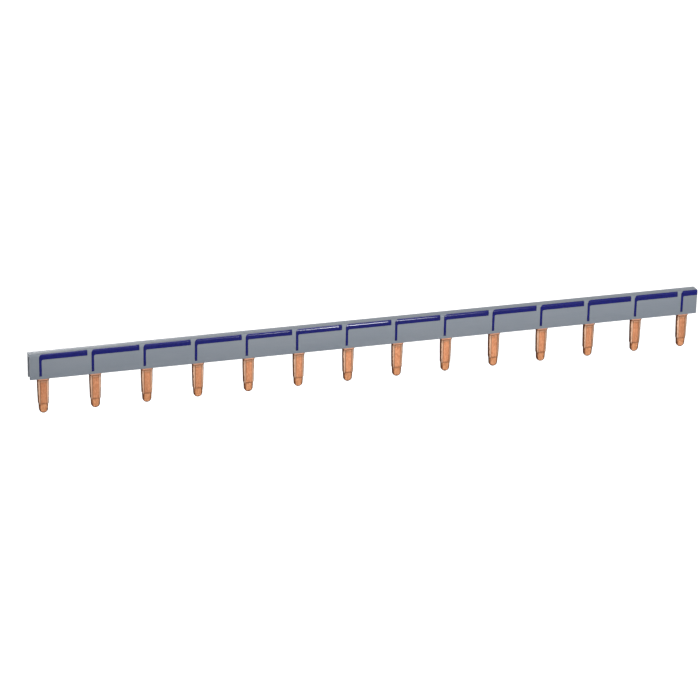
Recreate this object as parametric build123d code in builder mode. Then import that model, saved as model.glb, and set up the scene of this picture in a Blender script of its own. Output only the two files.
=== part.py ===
from build123d import *
import math
import os

# Comb busbar: one stamped copper comb in an extruded insulating sleeve with printed module marks.
# Millimetres. X runs along the bar, the printed front faces -Y and the teeth point down.
# The origin lies in the middle of the row of teeth, at the lower edge of the sleeve.

# Layout of the row
module_pitch = 17.8
tooth_count = 14
end_overhang = 4.7
row_length = module_pitch * (tooth_count - 1)
sleeve_length = row_length + 2 * end_overhang
tooth_places = [(module_pitch * (i - (tooth_count - 1) / 2), 0) for i in range(tooth_count)]

# Copper strip and the blanked shape of its teeth
strip_thickness = 2.0
strip_height = 7.4
strip_end_recess = 1.5
strip_edge_recess = 0.2
root_radius = 1.0
tooth_width = 3.9
tooth_length = 12.7

# Coined faces of a tooth: stations below the sleeve, widths and thicknesses there.
# The flat land keeps one width down the tooth, and the bevels beside it one slope.
coin_start = 0.5
coin_full = 1.1
taper_start = 3.5
shoulder_start = 9.1
shoulder_length = 0.5
coin_thickness = 1.8
land_width = 2.2
bevel_slope = 0.41
shoulder_width = 3.5
nose_width = 3.1
nose_thickness = 1.6
tip_width = 2.9
tip_thickness = 1.0

# Insulating sleeve around the strip
side_clearance = 0.1
roof_clearance = 0.1
wall_thickness = 0.9
roof_thickness = 1.25
top_corner_radius = 0.7
foot_corner_radius = 0.25
mouth_chamfer = 0.2
grip_rib_width = 0.7
grip_rib_crest = 0.3
grip_rib_inset = 1.6

# Printed module marks
ink_thickness = 0.06
mark_offset = 1.1
stroke_width = 0.85
stroke_foot = 1.1
mark_gap = 1.4
bar_drop = 1.95
bar_wrap = 0.26
mark_outer_radius = 0.85
mark_inner_radius = 0.3

# Sizes that follow from the values above
strip_length = sleeve_length - 2 * strip_end_recess
strip_bottom = strip_edge_recess
strip_top = strip_bottom + strip_height
channel_width = strip_thickness + 2 * side_clearance
channel_top = strip_top + roof_clearance
sleeve_depth = channel_width + 2 * wall_thickness
sleeve_height = channel_top + roof_thickness

os.makedirs("parts", exist_ok=True)

# Sleeve: an inverted U extruded along the bar, rounded outside at its top and at its two feet.
# Four low ribs inside it grip the faces of the strip.
with BuildSketch() as sleeve_outline:
    with Locations((0, sleeve_height / 2)):
        Rectangle(sleeve_depth, sleeve_height)
    fillet(sleeve_outline.vertices().group_by(Axis.Y)[-1], top_corner_radius)
    fillet(sleeve_outline.vertices().group_by(Axis.Y)[0], foot_corner_radius)

with BuildPart() as insulating_sleeve:
    with BuildSketch(Plane.YZ.offset(-sleeve_length / 2)):
        add(sleeve_outline.sketch)
        with Locations((0, channel_top / 2)):
            Rectangle(channel_width, channel_top, mode=Mode.SUBTRACT)
        with BuildLine():
            Polyline(
                (-channel_width / 2 - mouth_chamfer, 0),
                (channel_width / 2 + mouth_chamfer, 0),
                (channel_width / 2, mouth_chamfer),
                (-channel_width / 2, mouth_chamfer),
                close=True,
            )
        make_face(mode=Mode.SUBTRACT)
        rib_heights = (strip_bottom + grip_rib_inset, strip_top - grip_rib_inset)
        for side in (-1, 1):
            for rib_height in rib_heights:
                with BuildLine():
                    Polyline(
                        (side * channel_width / 2, rib_height - grip_rib_width / 2),
                        (side * strip_thickness / 2, rib_height - grip_rib_crest / 2),
                        (side * strip_thickness / 2, rib_height + grip_rib_crest / 2),
                        (side * channel_width / 2, rib_height + grip_rib_width / 2),
                        close=True,
                    )
                make_face()
    extrude(amount=sleeve_length)

insulating_sleeve.part.label = "insulating_sleeve"
export_step(insulating_sleeve.part, "parts/insulating_sleeve.step")

# Coining die cavity: eight-sided sections down the tooth. It is wide open where the press marks run
# out under the sleeve, then tapers to a narrow shoulder and a thin nose.
root_bevel = (tooth_width - land_width) / 2
mouth_width = tooth_width + 2 * root_bevel
mouth_thickness = strip_thickness + 2 * bevel_slope * root_bevel
cavity_sections = [
    (coin_start, mouth_width, mouth_thickness, tooth_width),
    (coin_full, tooth_width, coin_thickness, land_width),
    (taper_start, tooth_width, coin_thickness, land_width),
    (shoulder_start, shoulder_width, coin_thickness, land_width),
    (shoulder_start + shoulder_length, nose_width, nose_thickness, land_width),
    (tooth_length, tip_width, tip_thickness, land_width),
]
with BuildPart() as coining_cavity:
    for depth, width, thickness, land in cavity_sections:
        side_half = thickness / 2 - bevel_slope * (width - land) / 2
        with BuildSketch(Plane.XY.offset(-depth)):
            with BuildLine():
                Polyline(
                    (-width / 2, -side_half),
                    (-land / 2, -thickness / 2),
                    (land / 2, -thickness / 2),
                    (width / 2, -side_half),
                    (width / 2, side_half),
                    (land / 2, thickness / 2),
                    (-land / 2, thickness / 2),
                    (-width / 2, side_half),
                    close=True,
                )
            make_face()
    loft(ruled=True)

# One tooth: the blanked tongue with a full round end, pressed into the cavity.
end_radius = nose_width / 2
tongue_end = tooth_length - end_radius
with BuildPart() as coined_tooth:
    with BuildSketch(Plane.XZ):
        with Locations((0, -(coin_start + tongue_end) / 2)):
            Rectangle(tooth_width, tongue_end - coin_start)
        with Locations((0, -tongue_end)):
            Circle(end_radius)
    extrude(amount=strip_thickness / 2, both=True)
    add(coining_cavity.part, mode=Mode.INTERSECT)

# Comb: the strip with a filleted root under each tooth, and the coined teeth below the roots.
with BuildPart() as copper_comb:
    with BuildSketch(Plane.XZ) as comb_blank:
        with Locations((0, strip_bottom + strip_height / 2)):
            Rectangle(strip_length, strip_height)
        with Locations(*tooth_places):
            with Locations((0, (strip_bottom - coin_start) / 2)):
                Rectangle(tooth_width, strip_bottom + coin_start)
        root_corners = comb_blank.vertices().filter_by_position(Axis.Y, strip_bottom, strip_bottom)
        fillet(root_corners.sort_by(Axis.X)[1:-1], root_radius)
    extrude(amount=strip_thickness / 2, both=True)
    with Locations(*tooth_places):
        add(coined_tooth.part)

copper_comb.part.label = "copper_comb"
export_step(copper_comb.part, "parts/copper_comb.step")

# Module marks: one film of ink over the front and top of the sleeve, kept only where an outline passes
# through it. The outlines lie in a plane that faces the rounded front edge at 45 degrees, so each
# long bar wraps over that edge and its stroke runs down the front. The last bar ends with the sleeve.
bar_length = module_pitch - mark_gap
wrap_slope = math.sqrt(0.5)
bar_front = -bar_drop * wrap_slope
bar_back = bar_wrap * wrap_slope
stroke_end = -(sleeve_height - stroke_foot) * wrap_slope
mark_view = Plane(origin=(0, -sleeve_depth / 2, sleeve_height), x_dir=(1, 0, 0), z_dir=(0, -1, 1))

with BuildSketch() as mark_outline:
    with Locations((bar_length / 2 - stroke_width / 2, (bar_front + bar_back) / 2)):
        Rectangle(bar_length, bar_back - bar_front)
    with Locations((0, (stroke_end + bar_back) / 2)):
        Rectangle(stroke_width, bar_back - stroke_end)
    fillet(mark_outline.vertices().group_by(Axis.X)[1].sort_by(Axis.Y)[-1], mark_inner_radius)
    fillet(mark_outline.vertices().group_by(Axis.X)[0].sort_by(Axis.Y)[-1], mark_outer_radius)

with BuildPart() as module_marks:
    with BuildSketch(Plane.YZ.offset(-sleeve_length / 2)):
        add(sleeve_outline.sketch)
        offset(amount=ink_thickness)
        add(sleeve_outline.sketch, mode=Mode.SUBTRACT)
        with Locations((-sleeve_depth / 2, sleeve_height)):
            Rectangle(sleeve_depth, 2 * sleeve_height - stroke_foot, mode=Mode.INTERSECT)
    extrude(amount=sleeve_length)
    with BuildSketch(mark_view):
        with Locations(*[(x - mark_offset, 0) for x, y in tooth_places]):
            add(mark_outline.sketch)
    extrude(amount=sleeve_height, both=True, mode=Mode.INTERSECT)

module_marks.part.label = "module_marks"
export_step(module_marks.part, "parts/module_marks.step")
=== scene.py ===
import math

import bmesh
import bpy
import numpy as np
from mathutils import Matrix, Vector


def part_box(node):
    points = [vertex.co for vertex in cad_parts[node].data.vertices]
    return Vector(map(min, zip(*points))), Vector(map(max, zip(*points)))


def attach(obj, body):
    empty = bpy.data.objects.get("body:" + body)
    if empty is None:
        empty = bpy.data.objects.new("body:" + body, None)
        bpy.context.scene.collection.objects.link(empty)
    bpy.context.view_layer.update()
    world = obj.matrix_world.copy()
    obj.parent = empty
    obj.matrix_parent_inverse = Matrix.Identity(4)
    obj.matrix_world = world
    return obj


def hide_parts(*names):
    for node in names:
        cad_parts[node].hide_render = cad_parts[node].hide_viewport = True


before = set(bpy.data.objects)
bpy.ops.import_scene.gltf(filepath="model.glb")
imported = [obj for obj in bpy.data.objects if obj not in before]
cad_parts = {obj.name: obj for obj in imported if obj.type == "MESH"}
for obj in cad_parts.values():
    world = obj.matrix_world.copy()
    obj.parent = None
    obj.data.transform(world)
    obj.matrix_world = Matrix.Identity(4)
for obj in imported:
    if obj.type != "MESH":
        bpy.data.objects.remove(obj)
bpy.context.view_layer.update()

# Comb busbar: a stamped and coined copper comb in an extruded grey sleeve with printed module marks.
# Shapes are worked out in millimetres in the frame's own axes: X along the bar, the printed front
# towards -Y, the teeth down. They become metres when they are put into a mesh.
MM = 0.001
join_distance = 2e-7
sharp_turn = math.radians(35)


def node_box_mm(node):
    """Lowest and highest corner of a CAD node, in millimetres."""
    low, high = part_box(node)
    return np.array(low) / MM, np.array(high) / MM


sleeve_low, sleeve_high = node_box_mm("insulating_sleeve")
comb_low, comb_high = node_box_mm("copper_comb")
marks_low, marks_high = node_box_mm("module_marks")

# Layout of the row
module_pitch = 17.8
tooth_count = 14
tooth_places = module_pitch * (np.arange(tooth_count) - (tooth_count - 1) / 2)

# Sleeve
sleeve_half_length = sleeve_high[0]
sleeve_half_depth = sleeve_high[1]
sleeve_height = sleeve_high[2]
wall_thickness = 0.9
roof_thickness = 1.25
top_corner_radius = 0.7
foot_corner_radius = 0.25
mouth_chamfer = 0.2
grip_rib_width = 0.7
grip_rib_crest = 0.3
grip_rib_inset = 1.6
mouth_radius = 0.03
rib_corner_radius = 0.02
channel_corner_radius = 0.08
cut_edge_radius = 0.1
smallest_radius = 0.004
arc_points = 7
channel_half_width = sleeve_half_depth - wall_thickness
channel_top = sleeve_height - roof_thickness

# Copper strip and teeth: stations of the coining die below the sleeve, with widths and thicknesses
strip_half_length = comb_high[0]
strip_half_thickness = comb_high[1]
strip_top = comb_high[2]
strip_bottom = 0.2
root_radius = 1.0
tooth_half_width = 1.95
tooth_length = -comb_low[2]
bevel_slope = 0.41
coin_start = 0.5
coin_full = 1.1
taper_start = 3.5
shoulder_start = 9.1
shoulder_end = 9.6
nose_radius = 1.55
nose_start = tooth_length - nose_radius
die_depths = [coin_start, coin_full, taper_start, shoulder_start, shoulder_end, tooth_length]
die_half_widths = [2.8, 1.95, 1.95, 1.75, 1.55, 1.45]
die_half_lands = [1.95, 1.1, 1.1, 1.1, 1.1, 1.1]
die_half_thicknesses = [1.3485, 0.9, 0.9, 0.9, 0.8, 0.5]
shear_edge_radius = 0.09
crease_half_width = 0.05

# Printed marks
ink_thickness = sleeve_low[1] - marks_low[1]
mark_left = -1.525
bar_length = 16.4
stroke_width = 0.85
bar_back = marks_high[1]
back_turn = np.arcsin((top_corner_radius - sleeve_half_depth - bar_back) / top_corner_radius)
bar_front = sleeve_height - 1.95
stroke_foot = marks_low[2]
mark_outer_radius = 1.25
mark_inner_radius = 0.5


def grid_quads(rows, columns, first):
    """Corner numbers of the quads between neighbouring points of a grid, counted from first."""
    corner = np.arange(rows * columns).reshape(rows, columns) + first
    quads = [corner[:-1, :-1], corner[:-1, 1:], corner[1:, 1:], corner[1:, :-1]]
    return np.stack(quads, -1).reshape(-1, 4)


def make_piece(name, patches, caps, material, node, slot):
    """One mesh from grids of points and flat end caps. Points that meet become one, faces turn outwards,
    and edges that turn by more than 35 degrees stay sharp."""
    points, faces, count = [], [], 0
    for patch in patches:
        rows, columns = patch.shape[:2]
        points.append(patch.reshape(-1, 3))
        faces += grid_quads(rows, columns, count).tolist()
        count += rows * columns
    for cap in caps:
        points.append(cap)
        faces.append(list(range(count, count + len(cap))))
        count += len(cap)
    mesh = bpy.data.meshes.new(name)
    mesh.from_pydata((np.concatenate(points) * MM).tolist(), [], faces)
    shell = bmesh.new()
    shell.from_mesh(mesh)
    bmesh.ops.remove_doubles(shell, verts=shell.verts, dist=join_distance)
    bmesh.ops.recalc_face_normals(shell, faces=shell.faces)
    shell.to_mesh(mesh)
    shell.free()
    mesh.polygons.foreach_set("use_smooth", [True] * len(mesh.polygons))
    mesh.set_sharp_from_angle(angle=sharp_turn)
    mesh.materials.append(material)
    piece = bpy.data.objects.new(name, mesh)
    bpy.context.scene.collection.objects.link(piece)
    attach(piece, "root")
    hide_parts(node)
    return piece


def rounded_ring(corners, radii):
    """Closed line round a polygon. Each corner is a circular arc: a conic between its two tangent points,
    with the corner as control point and the cosine of half the turn as its weight."""
    corners = np.array(corners, float)
    ahead = np.roll(corners, -1, 0) - corners
    behind = np.roll(corners, 1, 0) - corners
    ahead /= np.linalg.norm(ahead, axis=1, keepdims=True)
    behind /= np.linalg.norm(behind, axis=1, keepdims=True)
    half_turn = (np.pi - np.arccos(np.clip((ahead * behind).sum(1), -1, 1))) / 2
    setback = (np.array(radii, float) * np.tan(half_turn))[:, None, None]
    weight = np.cos(half_turn)[:, None, None]
    s = np.linspace(0, 1, arc_points)[None, :, None]
    start = corners[:, None] + setback * behind[:, None]
    end = corners[:, None] + setback * ahead[:, None]
    share_start, share_corner, share_end = (1 - s) ** 2, 2 * s * (1 - s) * weight, s**2
    arc = share_start * start + share_corner * corners[:, None] + share_end * end
    return (arc / (share_start + share_corner + share_end)).reshape(-1, 2)


def mitred(line, distance, closed):
    """The line moved to its left by a distance: each point goes along the mitre of the normals of its
    two edges, which is their sum over one plus their product."""
    edge = np.roll(line, -1, 0) - line
    edge /= np.maximum(np.linalg.norm(edge, axis=1, keepdims=True), 1e-9)
    normal_ahead = np.stack([-edge[:, 1], edge[:, 0]], 1)
    normal_behind = np.roll(normal_ahead, 1, 0)
    if not closed:
        normal_behind[0] = normal_ahead[0]
        normal_ahead[-1] = normal_behind[-1]
    product = (normal_ahead * normal_behind).sum(1, keepdims=True)
    return line + distance * (normal_ahead + normal_behind) / (1 + product)


def sleeve_ring(inset):
    """The sleeve's section in Y and Z, an inverted U walked round its outside and then its channel, with
    rounded top corners and feet, and two low grip ribs on each inner wall. An inset draws it in: corners
    go along their mitres, radii of outer corners shrink by it and those of inner corners grow."""
    outside = [
        (channel_half_width + mouth_chamfer, 0, mouth_radius),
        (sleeve_half_depth, 0, foot_corner_radius),
        (sleeve_half_depth, sleeve_height, top_corner_radius),
    ]
    rib = [
        (channel_half_width, grip_rib_width / 2, rib_corner_radius),
        (strip_half_thickness, grip_rib_crest / 2, rib_corner_radius),
        (strip_half_thickness, -grip_rib_crest / 2, rib_corner_radius),
        (channel_half_width, -grip_rib_width / 2, rib_corner_radius),
    ]
    rib_heights = (strip_top - grip_rib_inset, strip_bottom + grip_rib_inset)
    inside = [(channel_half_width, channel_top, channel_corner_radius)]
    inside += [(y, height + z, r) for height in rib_heights for y, z, r in rib]
    inside += [(channel_half_width, mouth_chamfer, mouth_radius)]
    walk = outside + [(-y, z, r) for y, z, r in reversed(outside)]
    walk += [(-y, z, r) for y, z, r in reversed(inside)] + inside
    corners, radii = np.array(walk)[:, :2], np.array(walk)[:, 2]
    after = np.roll(corners, -1, 0) - corners
    before = np.roll(after, 1, 0)
    turn_side = np.sign(before[:, 0] * after[:, 1] - before[:, 1] * after[:, 0])
    radii = np.maximum(radii - inset * turn_side, smallest_radius)
    return rounded_ring(mitred(corners, inset, True), radii)


def sleeve_skin():
    """The section carried along X. At both sawn ends it draws in by a quarter round: at a turn t it has
    come the radius times one less cosine t inwards, one less sine t of the radius before the end."""
    turn = np.linspace(0, np.pi / 2, 4)
    end_places = sleeve_half_length - cut_edge_radius * (1 - np.sin(turn))
    end_insets = cut_edge_radius * (1 - np.cos(turn))
    middle = np.linspace(-1, 1, 25)[1:-1] * (sleeve_half_length - 2 * cut_edge_radius)
    places = np.concatenate([-end_places[::-1], middle, end_places])
    insets = np.concatenate([end_insets[::-1], 0 * middle, end_insets])
    sections = np.array([sleeve_ring(inset) for inset in insets])
    grid = np.empty((len(places), sections.shape[1] + 1, 3))
    grid[:, :, 0] = places[:, None]
    grid[:, :-1, 1:] = sections
    grid[:, -1, 1:] = grid[:, 0, 1:]
    return [grid], [grid[0, :-1], grid[-1, :-1]]


def outline_half_width(depth):
    """Half the tooth's width at a depth below the sleeve: the die's, or the blanked tongue's where that is
    narrower. The tongue ends in a half circle."""
    die = np.interp(depth, die_depths[1:], die_half_widths[1:])
    past = np.clip(depth - nose_start, 0, nose_radius)
    tongue = np.where(depth < nose_start, tooth_half_width, np.sqrt(nose_radius**2 - past**2))
    return np.minimum(die, tongue)


def half_thickness(x, depth):
    """Half the copper's thickness at x from a tooth's middle line and at a depth below the sleeve: the
    strip's, or the die's where that is less. The die is flat over its land and falls at one slope
    beside it."""
    land = np.interp(depth, die_depths, die_half_lands)
    fall = bevel_slope * np.clip(np.abs(x) - land, 0, None)
    pressed = np.interp(depth, die_depths, die_half_thicknesses) - fall
    return np.where(depth < coin_start, strip_half_thickness, np.minimum(strip_half_thickness, pressed))


def tooth_side():
    """One side of a tooth from its root to its tip, as half width and depth: a quarter circle out of the
    strip's edge, then the outline at the stations where the die changes, then the round nose by angle."""
    turn = np.linspace(0, math.radians(72), 8)
    root_width = tooth_half_width + root_radius * (1 - np.sin(turn))
    root_depth = -strip_bottom + root_radius * (1 - np.cos(turn))
    around = np.array([-1, 0, 1])
    taper_rows, shoulder_rows = 0.12 * around, 0.08 * around
    shank = np.concatenate([
        np.linspace(coin_start, coin_full, 9) + 0.05,
        [2.2],
        taper_start + taper_rows,
        [5.3, 7.1],
        shoulder_start + shoulder_rows,
        shoulder_end + shoulder_rows,
        [10.1, nose_start],
    ])
    nose = nose_start + nose_radius * np.sin(np.linspace(0, np.pi / 2, 13)[1:])
    depth = np.concatenate([shank, nose])
    widening = np.clip(root_radius - strip_bottom - depth, 0, root_radius)
    fillet = root_radius - np.sqrt(root_radius**2 - widening**2)
    width = outline_half_width(depth) + fillet
    width[-1] = 0
    return np.concatenate([root_width, width]), np.concatenate([root_depth, depth])


def rim(line, inner, half):
    """The sheared edge along an outline: a small quarter round from the front face, the side, and the
    same round to the back face. half is half the thickness at each point of the inner line."""
    turn = np.radians([90, 60, 30, 0])
    reach = np.concatenate([np.cos(turn), np.cos(turn[::-1])])
    rise = np.concatenate([1 - np.sin(turn), 1 - np.sin(turn[::-1])]) * shear_edge_radius
    side = np.repeat([-1, 1], len(turn))
    plan = inner[:, None] + (line - inner)[:, None] * reach[None, :, None]
    y = side[None, :] * (half[:, None] - rise[None, :])
    return np.stack([plan[..., 0], y, plan[..., 1]], -1)


def both_faces(x, z, half):
    """A sheet of points on the front face and the same sheet on the back face."""
    return [np.stack([x, side * half, z], -1) for side in (-1, 1)]


def strip_edges(root_x, inner_root_x, low, high, sheet_x):
    """The outlines of the strip, each with its inner line: one between every two teeth, and one from the
    last tooth round the right end, the top and the left end to the first tooth. root_x is the way from a
    tooth's middle to where its root meets the strip's lower edge."""
    for start, end in zip(tooth_places[:-1], tooth_places[1:]):
        line = np.array([[start + root_x, strip_bottom], [end - root_x, strip_bottom]])
        yield line, np.array([[start + inner_root_x, low], [end - inner_root_x, low]])

    middle, end_x = (low + high) / 2, sheet_x[-1]
    top_x = sheet_x[::-1].copy()
    inner_top = np.stack([top_x, np.full_like(top_x, high)], 1)
    outer_top = np.stack([top_x, np.full_like(top_x, strip_top)], 1)
    outer_top[0, 0], outer_top[-1, 0] = strip_half_length, -strip_half_length
    foot = np.array([[tooth_places[-1] + root_x, strip_bottom], [strip_half_length, strip_bottom]])
    inner_foot = np.array([[tooth_places[-1] + inner_root_x, low], [end_x, low]])
    mirror = [-1, 1]
    left = np.array([[strip_half_length, middle], *foot[::-1]]) * mirror
    inner_left = np.array([[end_x, middle], *inner_foot[::-1]]) * mirror
    line = np.concatenate([foot, [[strip_half_length, middle]], outer_top, left])
    yield line, np.concatenate([inner_foot, [[end_x, middle]], inner_top, inner_left])


def comb_skin():
    """The comb as a plate with an outline: its front and back faces are sheets of points at half the
    thickness, and the rim joins them all round. A tooth's rows run from side to side, with columns
    that keep to both edges of the die's flat land."""
    width, depth = tooth_side()
    side = np.stack([-width, -depth], 1)
    outline = np.concatenate([side, (side * [-1, 1])[-2::-1]])
    lead = [outline[0] - [1, 0]]
    run_out = [outline[-1] + [1, 0]]
    inner = mitred(np.concatenate([lead, outline, run_out]), shear_edge_radius, False)[1:-1]
    inner_side = inner[:len(side)]
    inner_side[-1, 0] = 0

    # Rows of one tooth: the outermost points, the middles of the bevels, both edges of the creases
    reach = -inner_side[:, 0]
    land = np.minimum(np.interp(depth, die_depths, die_half_lands), 0.75 * reach)
    crease = np.minimum(crease_half_width, 0.1 * reach)
    columns = [reach, (reach + land) / 2, land + crease, land - crease, land / 2]
    half_row = np.stack(columns, 1)
    row_x = np.concatenate([-half_row, 0 * reach[:, None], half_row[:, ::-1]], 1)
    row_z = np.repeat(inner_side[:, 1:], row_x.shape[1], 1)
    row_half = half_thickness(row_x, -row_z)
    inner_half = half_thickness(inner[:, 0], -inner[:, 1])

    patches = []
    for place in tooth_places:
        patches += both_faces(row_x + place, row_z, row_half)
        patches.append(rim(outline + [place, 0], inner + [place, 0], inner_half))

    # The strip's two faces take up the columns of each tooth's top row, so that their points meet
    web_x = (row_x[0][None, :] + tooth_places[:, None]).ravel()
    end_x = strip_half_length - shear_edge_radius
    sheet_x = np.concatenate([[-end_x], web_x, [end_x]])
    low, high = row_z[0, 0], strip_top - shear_edge_radius
    x, z = np.meshgrid(sheet_x, [low, (low + high) / 2, high])
    patches += both_faces(x, z, np.full_like(x, strip_half_thickness))
    for line, within in strip_edges(outline[-1, 0], inner[-1, 0], low, high, sheet_x):
        patches.append(rim(line, within, np.full(len(line), strip_half_thickness)))
    return patches, []


def mark_edges(mesh):
    """Stores at each point how far it lies inside a tooth's outline, in millimetres: half the width at its
    depth less its distance from the tooth's middle line, or the way left to the tip if that is less."""
    spots = np.empty(3 * len(mesh.vertices))
    mesh.vertices.foreach_get("co", spots)
    x, depth = spots[0::3] / MM, -spots[2::3] / MM
    across = np.abs(x[:, None] - tooth_places).min(1)
    inside = np.minimum(outline_half_width(depth) - across, tooth_length - depth)
    layer = mesh.attributes.new("edge_distance", "FLOAT", "POINT")
    layer.data.foreach_set("value", np.where(depth > 0, inside, 1.0))


def ink_point(x, run, lift):
    """A point on the sleeve's skin: run is the way walked from the back edge of the print, round the
    rest of the corner's arc and down the front. lift is the height above the skin."""
    centre_y, centre_z = -sleeve_half_depth + top_corner_radius, sleeve_height - top_corner_radius
    turn = np.minimum(back_turn + run / top_corner_radius, np.pi / 2)
    down = np.clip(run - (np.pi / 2 - back_turn) * top_corner_radius, 0, None)
    y = centre_y - (top_corner_radius + lift) * np.sin(turn)
    z = centre_z + (top_corner_radius + lift) * np.cos(turn) - down
    return np.stack([x + 0 * run, y + 0 * x, z + 0 * x], -1)


def mark_film(left, length):
    """One mark as a film: a long bar that wraps over the front top edge, and a stroke down the front from
    its left end. The bar's left edge starts with a quarter circle, and the inner corner has a small one.
    Rows follow the way over the skin, and the columns of bar and stroke meet where the bar ends."""
    arc_run = top_corner_radius * (np.pi / 2 - back_turn)
    bar_run = arc_run + sleeve_height - top_corner_radius - bar_front
    foot_run = arc_run + sleeve_height - top_corner_radius - stroke_foot
    bar_runs = np.concatenate([
        mark_outer_radius * (1 - np.cos(np.linspace(0, np.pi / 2, 9))),
        np.linspace(mark_outer_radius, bar_run, 10)[1:],
    ])
    into = np.clip(mark_outer_radius - bar_runs, 0, None)
    bar_left = mark_outer_radius - np.sqrt(mark_outer_radius**2 - into**2)
    neck = min(stroke_width + mark_inner_radius, length)
    share = np.linspace(0, 1, 7)
    near = bar_left[:, None] + (neck - bar_left)[:, None] * share
    far = np.repeat(neck + (length - neck) * np.linspace(0, 1, 13)[None, :], len(bar_runs), 0)

    turn = np.linspace(0, np.pi / 2, 7)
    stroke_runs = np.concatenate([
        bar_run + mark_inner_radius * (1 - np.cos(turn)),
        np.linspace(bar_run + mark_inner_radius, foot_run, 4)[1:],
    ])
    past = np.clip(mark_inner_radius - (stroke_runs - bar_run), 0, None)
    flare = mark_inner_radius - np.sqrt(mark_inner_radius**2 - past**2)
    right = np.minimum(stroke_width + flare, length)
    stroke = right[:, None] * share
    films = [(near, bar_runs), (far, bar_runs), (stroke, stroke_runs)]
    return [ink_point(x + left, runs[:, None], ink_thickness) for x, runs in films]


def marks_skin():
    """The film of every module, each cut off where the sleeve ends."""
    patches = []
    for place in tooth_places:
        left = place + mark_left
        patches += mark_film(left, min(bar_length, sleeve_half_length - left))
    return patches, []


class Finish:
    """A procedural material: its node tree, with short calls for the nodes that the finishes share."""

    def __init__(self, name):
        self.material = bpy.data.materials.new(name)
        self.material.use_nodes = True
        self.nodes = self.material.node_tree.nodes
        self.links = self.material.node_tree.links
        self.shader = self.nodes["Principled BSDF"]
        self.place = self.nodes.new("ShaderNodeTexCoord")

    def link(self, source, target):
        self.links.new(source, target)

    def stretched(self, scale):
        """Object coordinates in millimetres, with each axis scaled."""
        mapping = self.nodes.new("ShaderNodeMapping")
        mapping.inputs["Scale"].default_value = Vector(scale) / MM
        self.link(self.place.outputs["Object"], mapping.inputs["Vector"])
        return mapping.outputs["Vector"]

    def noise(self, scale, detail=3.0, roughness=0.55):
        texture = self.nodes.new("ShaderNodeTexNoise")
        texture.inputs["Scale"].default_value = 1.0
        texture.inputs["Detail"].default_value = detail
        texture.inputs["Roughness"].default_value = roughness
        self.link(self.stretched(scale), texture.inputs["Vector"])
        return texture.outputs["Fac"]

    def axis(self, name, scale):
        """One object coordinate in millimetres, times a scale."""
        parts = self.nodes.new("ShaderNodeSeparateXYZ")
        self.link(self.stretched((scale, scale, scale)), parts.inputs["Vector"])
        return parts.outputs[name]

    def facing(self, name):
        """How much the surface faces along an axis, forwards or backwards: nought to one."""
        parts = self.nodes.new("ShaderNodeSeparateXYZ")
        self.link(self.place.outputs["Normal"], parts.inputs["Vector"])
        return self.math("ABSOLUTE", parts.outputs[name], 0)

    def attribute(self, name):
        node = self.nodes.new("ShaderNodeAttribute")
        node.attribute_name = name
        return node.outputs["Fac"]

    def near(self, value, middle, core, reach):
        """One close to a middle value, falling to nought at a reach from it."""
        away = self.math("ABSOLUTE", self.math("SUBTRACT", value, middle), 0)
        return self.spread(away, core, reach, 1, 0)

    def spread(self, value, low, high, to_low=0, to_high=1):
        """Maps a value from one range to another by a smooth step, held at its ends."""
        node = self.nodes.new("ShaderNodeMapRange")
        node.interpolation_type = "SMOOTHSTEP"
        ends = {"From Min": low, "From Max": high, "To Min": to_low, "To Max": to_high}
        for name, number in ends.items():
            node.inputs[name].default_value = number
        self.link(value, node.inputs["Value"])
        return node.outputs["Result"]

    def math(self, operation, first, second):
        node = self.nodes.new("ShaderNodeMath")
        node.operation = operation
        for number, value in enumerate((first, second)):
            if isinstance(value, (int, float)):
                node.inputs[number].default_value = value
            else:
                self.link(value, node.inputs[number])
        return node.outputs["Value"]

    def plus(self, first, second):
        return self.math("ADD", first, second)

    def times(self, first, second):
        return self.math("MULTIPLY", first, second)

    def most(self, first, second):
        return self.math("MAXIMUM", first, second)

    def blend(self, share, first, second):
        """The first colour, turning into the second as the share goes from nought to one."""
        node = self.nodes.new("ShaderNodeMix")
        node.data_type = "RGBA"
        sockets = [s for s in node.inputs if s.type == "RGBA"]
        for socket, colour in zip(sockets, (first, second)):
            if isinstance(colour, tuple):
                socket.default_value = (*colour, 1)
            else:
                self.link(colour, socket)
        if isinstance(share, (int, float)):
            node.inputs["Factor"].default_value = share
        else:
            self.link(share, node.inputs["Factor"])
        return next(s for s in node.outputs if s.type == "RGBA")

    def bump(self, height, distance, strength):
        """Relief of a height pattern, with its distance in millimetres."""
        node = self.nodes.new("ShaderNodeBump")
        node.inputs["Strength"].default_value = strength
        node.inputs["Distance"].default_value = distance * MM
        self.link(height, node.inputs["Height"])
        self.link(node.outputs["Normal"], self.shader.inputs["Normal"])

    def cover(self, colour, roughness):
        self.link(colour, self.shader.inputs["Base Color"])
        self.link(roughness, self.shader.inputs["Roughness"])


def linear(red, green, blue):
    """A colour written as screen values from 0 to 255, as the linear colour that a shader takes."""
    value = np.array([red, green, blue]) / 255
    return tuple(np.where(value <= 0.04045, value / 12.92, ((value + 0.055) / 1.055) ** 2.4).tolist())


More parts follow.
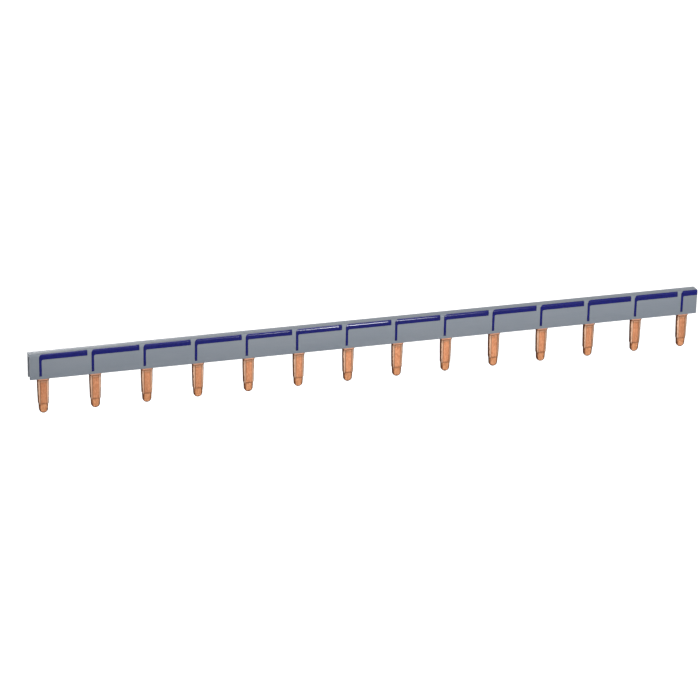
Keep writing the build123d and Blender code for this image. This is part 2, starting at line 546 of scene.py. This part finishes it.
def sleeve_finish():
    """Extruded grey plastic: faint draw lines along the bar, a cloudy tint and a fine grain. The sawn ends
    are paler, partly as chalky cut plastic and partly as a painted highlight, with saw lines across them."""
    finish = Finish("satin_grey_plastic")
    grey, cloudy_grey = linear(120, 128, 138), linear(124, 131, 140)
    # The sawn face colour is partly chalky cut plastic and partly a painted highlight.
    draw_line, sawn_face_and_highlight = linear(132, 138, 146), linear(184, 190, 197)
    lines = finish.noise((0.02, 6.0, 6.0), 4)
    cloud = finish.noise((0.05, 0.2, 0.2), 3)
    grain = finish.noise((9.0, 9.0, 9.0), 2)
    saw = finish.noise((3.0, 1.0, 7.0), 3)
    sawn = finish.spread(finish.facing("X"), 0.5, 0.9)
    colour = finish.blend(finish.spread(cloud, 0.35, 0.65), grey, cloudy_grey)
    colour = finish.blend(finish.spread(lines, 0.4, 0.7, 0, 0.35), colour, draw_line)
    # Paler sawn ends: partly chalky cut, partly painted highlight.
    colour = finish.blend(sawn, colour, sawn_face_and_highlight)
    rough = finish.plus(finish.spread(lines, 0.3, 0.7, 0.4, 0.54), finish.times(sawn, 0.1))
    finish.cover(colour, rough)
    finish.shader.inputs["IOR"].default_value = 1.5
    height = finish.plus(lines, finish.times(grain, 0.4))
    height = finish.plus(height, finish.times(saw, finish.times(sawn, 3.0)))
    finish.bump(height, 0.01, 0.5)
    return finish.material


def copper_finish():
    """Bare copper. A tooth's root keeps the dull skin of the rolled strip. Below it the die has burnished
    satin lands with lines drawn down the tooth, a painted highlight on the bevels beside them, and painted
    shade in the creases between, at the shoulders and at the step where the die starts. A painted
    highlight lies just below that step, and the nose is duller than the lands and painted paler, as
    painted light for its down-tilted faces. The rims along the outline and the sheared sides are dark,
    partly from tarnish and partly as painted shade, with a rough fracture band, but the strip's ends
    inside the sleeve are clean."""
    finish = Finish("coined_copper")
    rolled_skin, stained_skin = linear(196, 148, 122), linear(182, 134, 110)
    satin_land, stained_land = linear(195, 132, 95), linear(180, 118, 84)
    rubbed_bright, rubbed_dark = linear(213, 155, 118), linear(166, 104, 74)
    # The second colour is a painted highlight for just below the step where the die starts.
    drawn_line, painted_lip_highlight = linear(208, 151, 117), linear(226, 176, 142)
    # The nose colours are painted paler than the lands: painted light for the nose's down-tilted faces.
    painted_light_nose_hollow, painted_light_nose_crest = linear(204, 140, 99), linear(225, 163, 121)
    # The colour of the bevels is a painted highlight, and the line colour is painted shade.
    painted_bevel_highlight, painted_line_shade = linear(246, 200, 168), linear(134, 86, 62)
    # The rim colours are partly tarnish and partly painted shade along the rounded edges.
    rim_tarnish_and_shade, nose_rim_tarnish_and_shade = linear(104, 68, 50), linear(96, 58, 40)
    # The sheared sides are dark partly from the fracture and partly as painted shade.
    sheared_side_and_shade, torn_side_and_shade = linear(98, 62, 46), linear(72, 46, 35)
    strip_end = linear(196, 132, 98)

    drawn = finish.noise((7.0, 7.0, 0.5), 4)
    stain = finish.noise((0.5, 0.5, 0.35), 4, 0.6)
    grain = finish.noise((12.0, 12.0, 12.0), 2)
    worn = finish.noise((2.2, 2.2, 1.0), 4, 0.6)

    # Zones of a tooth: how far a point lies from its middle line and below the sleeve
    depth = finish.axis("Z", -1)
    half_pitch = module_pitch / 2
    across = finish.math("SUBTRACT", half_pitch, finish.math("PINGPONG", finish.axis("X", 1), half_pitch))
    land_edge = die_half_lands[1]
    on_nose = finish.spread(depth, shoulder_start + 0.2, shoulder_end + 0.2)
    pressed = finish.spread(depth, coin_start + 0.1, coin_full + 0.1)
    # The bevels get a painted highlight where the die has pressed, but not on the nose.
    bevel_highlight_share = finish.times(finish.spread(across, land_edge, land_edge + 0.1), pressed)
    bevel_highlight_share = finish.times(bevel_highlight_share, finish.math("SUBTRACT", 1.0, on_nose))
    # Creases, shoulder and the step where the die starts: places of painted shade lines.
    crease = finish.near(across, land_edge, 0.04, 0.2)
    shoulder = finish.near(depth, shoulder_start, 0.03, 0.16)
    step = finish.near(depth, (coin_start + coin_full) / 2, 0.03, 0.2)
    # Painted highlight just below the step where the die starts.
    lip_highlight = finish.near(depth, coin_full + 0.25, 0.1, 0.3)
    edge = finish.plus(finish.attribute("edge_distance"), finish.spread(worn, 0.3, 0.7, -0.12, 0.12))
    edge_rim = finish.spread(edge, 0.1, 0.4, 1, 0)
    round_end = finish.spread(depth, nose_start - 0.5, nose_start + 0.4)
    nose_rim = finish.times(finish.spread(edge, 0.15, 0.6, 1, 0), round_end)
    sheared = finish.spread(finish.facing("X"), 0.55, 0.85)
    fracture = finish.spread(finish.axis("Y", 1), -0.2, 0.3)

    stained = finish.spread(stain, 0.35, 0.7)
    skin = finish.blend(stained, rolled_skin, stained_skin)
    land = finish.blend(stained, satin_land, stained_land)
    land = finish.blend(finish.spread(worn, 0.48, 0.66, 0, 0.7), land, rubbed_bright)
    land = finish.blend(finish.spread(worn, 0.48, 0.32, 0, 0.6), land, rubbed_dark)
    land = finish.blend(finish.spread(drawn, 0.45, 0.75, 0, 0.5), land, drawn_line)
    # Paler nose: painted light, with random tone between its two colours.
    nose = finish.blend(finish.spread(worn, 0.4, 0.6), painted_light_nose_hollow, painted_light_nose_crest)
    land = finish.blend(on_nose, land, nose)
    # Painted highlight just below the step.
    land = finish.blend(finish.times(lip_highlight, 0.6), land, painted_lip_highlight)
    colour = finish.blend(pressed, skin, land)
    # Painted highlight on the bevels.
    colour = finish.blend(bevel_highlight_share, colour, painted_bevel_highlight)
    # Painted shade lines in the creases, at the shoulder and at the step where the die starts.
    lines = finish.most(finish.times(crease, pressed), finish.times(shoulder, 0.2))
    lines = finish.most(lines, step)
    colour = finish.blend(finish.times(lines, 0.75), colour, painted_line_shade)
    # Rims: partly tarnish, partly painted shade.
    colour = finish.blend(finish.times(edge_rim, 0.85), colour, rim_tarnish_and_shade)
    colour = finish.blend(finish.times(nose_rim, 0.85), colour, nose_rim_tarnish_and_shade)
    # Dark sheared sides: partly fracture, partly painted shade.
    side = finish.blend(fracture, sheared_side_and_shade, torn_side_and_shade)
    side = finish.blend(finish.spread(depth, -0.3, 0.1, 1, 0), side, strip_end)
    colour = finish.blend(sheared, colour, side)

    dull = finish.most(sheared, finish.math("SUBTRACT", 1.0, pressed))
    dull = finish.most(dull, on_nose)
    rough = finish.plus(finish.spread(drawn, 0.3, 0.7, 0.36, 0.46), finish.times(dull, 0.1))
    finish.cover(colour, rough)
    finish.shader.inputs["Metallic"].default_value = 1.0
    finish.shader.inputs["Specular Tint"].default_value = (*linear(220, 170, 144), 1)
    finish.bump(finish.plus(drawn, finish.times(grain, 0.3)), 0.012, 0.6)
    return finish.material


def ink_finish():
    """Printed navy ink: a closed, smooth film with a faint mottle from the printing pad."""
    finish = Finish("navy_print")
    navy, pale_navy = linear(5, 9, 94), linear(10, 17, 112)
    mottle = finish.noise((1.2, 2.5, 2.5), 4, 0.6)
    grain = finish.noise((10.0, 10.0, 10.0), 2)
    colour = finish.blend(finish.spread(mottle, 0.35, 0.7), navy, pale_navy)
    finish.cover(colour, finish.spread(mottle, 0.3, 0.7, 0.11, 0.17))
    finish.shader.inputs["IOR"].default_value = 1.38
    finish.bump(finish.plus(mottle, grain), 0.006, 0.3)
    return finish.material


make_piece("sleeve_extrusion", *sleeve_skin(), sleeve_finish(), "insulating_sleeve", "sleeve_plastic")
comb_piece = make_piece("coined_comb", *comb_skin(), copper_finish(), "copper_comb", "bare_copper")
mark_edges(comb_piece.data)
print_film = make_piece("module_print", *marks_skin(), ink_finish(), "module_marks", "mark_ink")
# The film's own skin is its outer face, so the thickness of the ink goes inwards
film_depth = print_film.modifiers.new("film_depth", "SOLIDIFY")
film_depth.thickness = ink_thickness * MM
film_depth.offset = -1

# Camera: the photograph's angle, worked out from the places of the teeth and the ends of the strokes
camera_turn = math.radians(18.066)
camera_drop = math.radians(21.613)
camera_roll = math.radians(1.061)
camera_distance = 1.0214
camera_lens = 152.71
sensor_width = 36.0
aim = Vector((0, sleeve_low[1] * MM, 0))
aim_right = -0.00840
aim_up = -0.00145

ahead = Vector((
    math.sin(camera_turn) * math.cos(camera_drop),
    math.cos(camera_turn) * math.cos(camera_drop),
    -math.sin(camera_drop),
))
level_right = Vector((math.cos(camera_turn), -math.sin(camera_turn), 0))
level_up = level_right.cross(ahead)
view_right = math.cos(camera_roll) * level_right + math.sin(camera_roll) * level_up
view_up = math.cos(camera_roll) * level_up - math.sin(camera_roll) * level_right
camera_place = aim - ahead * camera_distance + view_right * aim_right + view_up * aim_up

camera_data = bpy.data.cameras.new("camera")
camera_data.lens = camera_lens
camera_data.sensor_width = sensor_width
camera = bpy.data.objects.new("camera", camera_data)
bpy.context.scene.collection.objects.link(camera)
turned = Matrix((view_right, view_up, -ahead)).transposed().to_4x4()
camera.matrix_world = Matrix.Translation(camera_place) @ turned
bpy.context.scene.camera = camera


def soft_lamp(name, towards, distance, width, height, power):
    """A flat lamp at a distance from the middle of the bar, facing it. The camera doesn't see it."""
    data = bpy.data.lights.new(name, "AREA")
    data.shape = "RECTANGLE"
    data.size = width
    data.size_y = height
    data.energy = power
    lamp = bpy.data.objects.new(name, data)
    bpy.context.scene.collection.objects.link(lamp)
    towards = Vector(towards).normalized()
    lamp.location = towards * distance
    lamp.rotation_mode = "QUATERNION"
    lamp.rotation_quaternion = towards.to_track_quat("Z", "Y")
    lamp.visible_camera = False


def seen_directly(nodes, links):
    """One for camera, glossy and transmission rays, nought for the rays that carry light to surfaces."""
    path = nodes.new("ShaderNodeLightPath")
    first = nodes.new("ShaderNodeMath")
    first.operation = "MAXIMUM"
    second = nodes.new("ShaderNodeMath")
    second.operation = "MAXIMUM"
    links.new(path.outputs["Is Camera Ray"], first.inputs[0])
    links.new(path.outputs["Is Glossy Ray"], first.inputs[1])
    links.new(first.outputs["Value"], second.inputs[0])
    links.new(path.outputs["Is Transmission Ray"], second.inputs[1])
    return second.outputs["Value"]


# Lamps: the direction from the bar, the distance, the width and height, and the power of each. The front
# lamp makes the glint on the lands and on the rounded edge of the print, and the back lamp lights the
# plain back as evenly as the front.
soft_lamp("top_lamp", (0.10, -0.20, 0.97), 0.90, 0.40, 0.40, 3.9)
soft_lamp("front_lamp", (0.28, -0.95, 0.02), 0.70, 0.06, 0.18, 2.2)
soft_lamp("left_bevel_lamp", (-0.50, -0.87, 0.03), 0.60, 0.14, 0.14, 0.32)
soft_lamp("right_bevel_lamp", (0.72, -0.69, 0.05), 0.60, 0.14, 0.14, 0.12)
soft_lamp("broad_lamp", (-0.85, -0.65, 0.50), 1.20, 0.80, 0.80, 1.2)
soft_lamp("back_lamp", (-0.12, 0.98, 0.10), 1.10, 0.60, 0.40, 8.0)

# Room: the background is white to the camera and in reflections, and lights the bar more weakly
room_light = 0.26
world = bpy.data.worlds.new("white_room")
bpy.context.scene.world = world
world.use_nodes = True
nodes, links = world.node_tree.nodes, world.node_tree.links
strength = nodes.new("ShaderNodeMapRange")
strength.inputs["To Min"].default_value = room_light
strength.inputs["To Max"].default_value = 1.0
links.new(seen_directly(nodes, links), strength.inputs["Value"])
links.new(strength.outputs["Result"], nodes["Background"].inputs["Strength"])
nodes["Background"].inputs["Color"].default_value = (1, 1, 1, 1)

# Floor: pale, well below the tips, so that only a faint soft shadow reaches the picture. Its glow makes
# it white to the camera, is weak in reflections, and lights nothing.
floor_depth = 0.09
floor_reach = 3.0
floor_grey = 0.50
floor_glow = 0.88
floor_mirrored_glow = 0.05
floor_mesh = bpy.data.meshes.new("floor")
floor_turns = ((-1, -1), (1, -1), (1, 1), (-1, 1))
floor_corners = [(x * floor_reach, y * floor_reach, -floor_depth) for x, y in floor_turns]
floor_mesh.from_pydata(floor_corners, [], [(0, 1, 2, 3)])
floor = bpy.data.objects.new("floor", floor_mesh)
bpy.context.scene.collection.objects.link(floor)
floor_material = bpy.data.materials.new("pale_floor")
floor_material.use_nodes = True
nodes, links = floor_material.node_tree.nodes, floor_material.node_tree.links
floor_shader = nodes["Principled BSDF"]
floor_shader.inputs["Base Color"].default_value = (floor_grey, floor_grey, floor_grey, 1)
floor_shader.inputs["Roughness"].default_value = 0.9
floor_shader.inputs["Specular IOR Level"].default_value = 0.0
floor_shader.inputs["Emission Color"].default_value = (1, 1, 1, 1)
mirrored = nodes.new("ShaderNodeMath")
mirrored.operation = "MULTIPLY"
mirrored.inputs[1].default_value = floor_mirrored_glow
links.new(seen_directly(nodes, links), mirrored.inputs[0])
glow = nodes.new("ShaderNodeMath")
glow.operation = "MULTIPLY_ADD"
glow.inputs[1].default_value = floor_glow - floor_mirrored_glow
links.new(nodes.new("ShaderNodeLightPath").outputs["Is Camera Ray"], glow.inputs[0])
links.new(mirrored.outputs["Value"], glow.inputs[2])
links.new(glow.outputs["Value"], floor_shader.inputs["Emission Strength"])
floor_mesh.materials.append(floor_material)

bpy.context.scene.view_settings.view_transform = "Standard"
